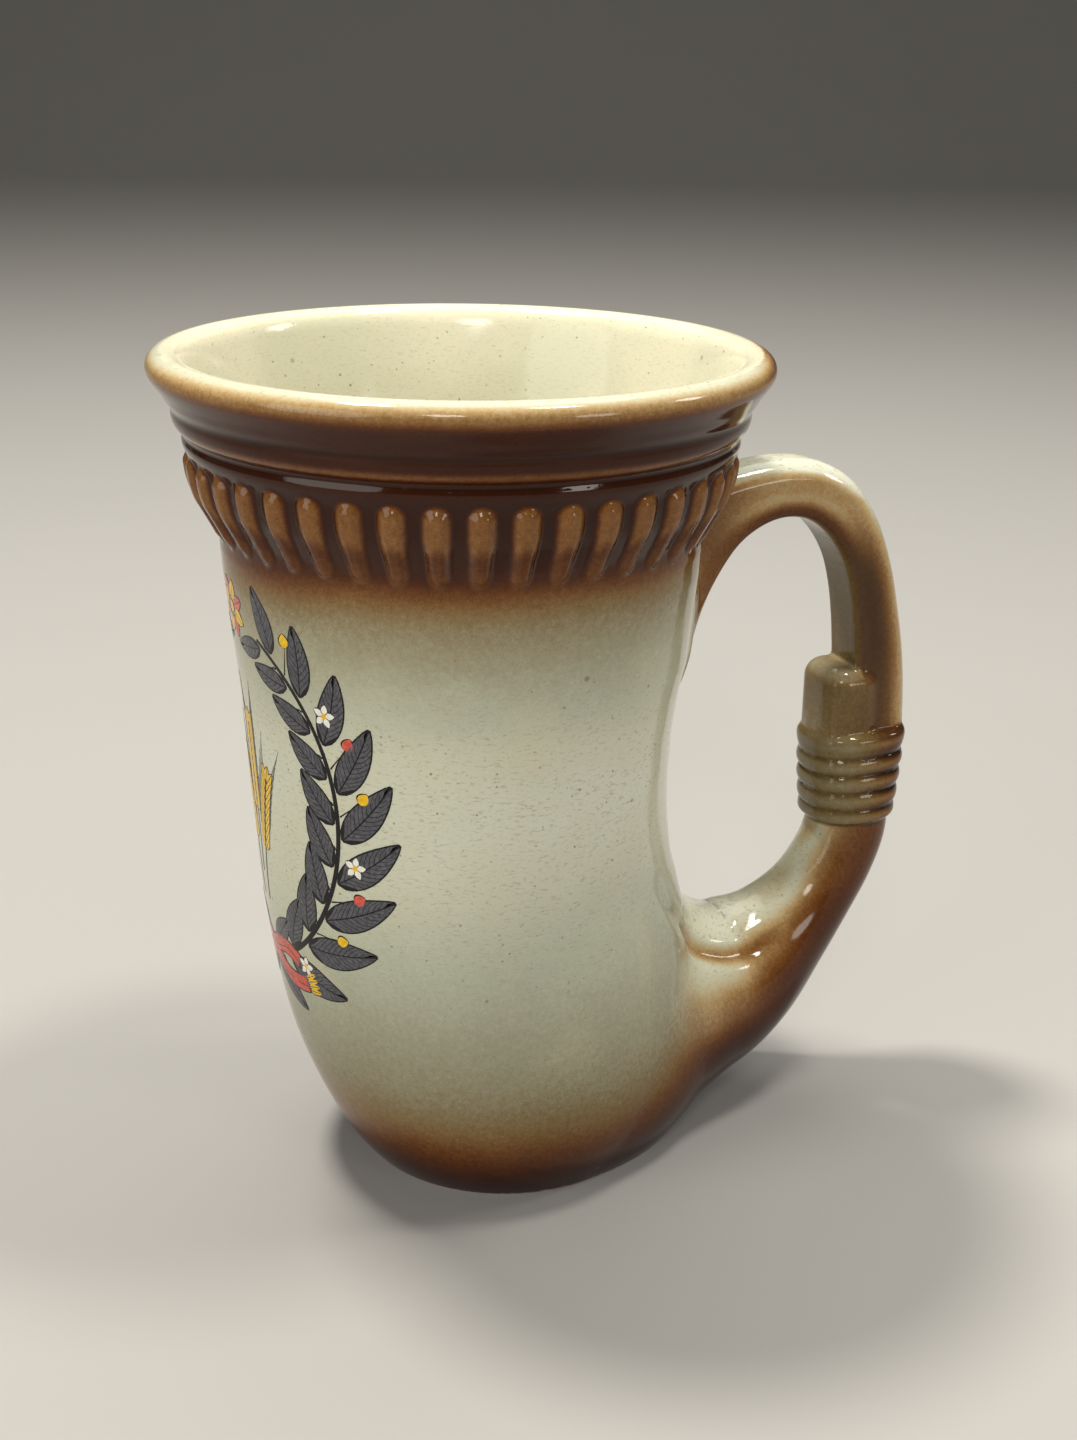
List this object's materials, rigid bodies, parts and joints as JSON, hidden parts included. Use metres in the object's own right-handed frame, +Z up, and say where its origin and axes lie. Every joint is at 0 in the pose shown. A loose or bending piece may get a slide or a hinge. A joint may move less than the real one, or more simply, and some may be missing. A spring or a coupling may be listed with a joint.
{
  "type": "beer mug",
  "caption": "Glazed stoneware beer mug shaped like a drinking horn, with a flared rolled lip, a lobed collar band and a strap handle bound to the horn's upturned tail.",
  "frame": {"origin": "where the axis of the cup's rim meets the plane of the foot", "axes": "+Z up along the cup's axis, +X towards the handle, +Y across the handle"},
  "size_m": [0.1444, 0.1066, 0.1516],
  "materials": {
    "glaze_cream": "glossy speckled grey-green cream glaze, sprayed brown at lip, band and foot",
    "glaze_brown": "glossy brown glaze fading to cream on top",
    "glaze_tan": "glossy cream glaze sprayed tan-brown along its edges",
    "glaze_olive": "glossy olive-brown glaze, darker in the grooves"
  },
  "bodies": {
    "root": {"cup_body": "glaze_cream", "horn_tail": "glaze_brown", "strap_handle": "glaze_tan", "ring_binding": "glaze_olive"}
  },
  "joints": []
}
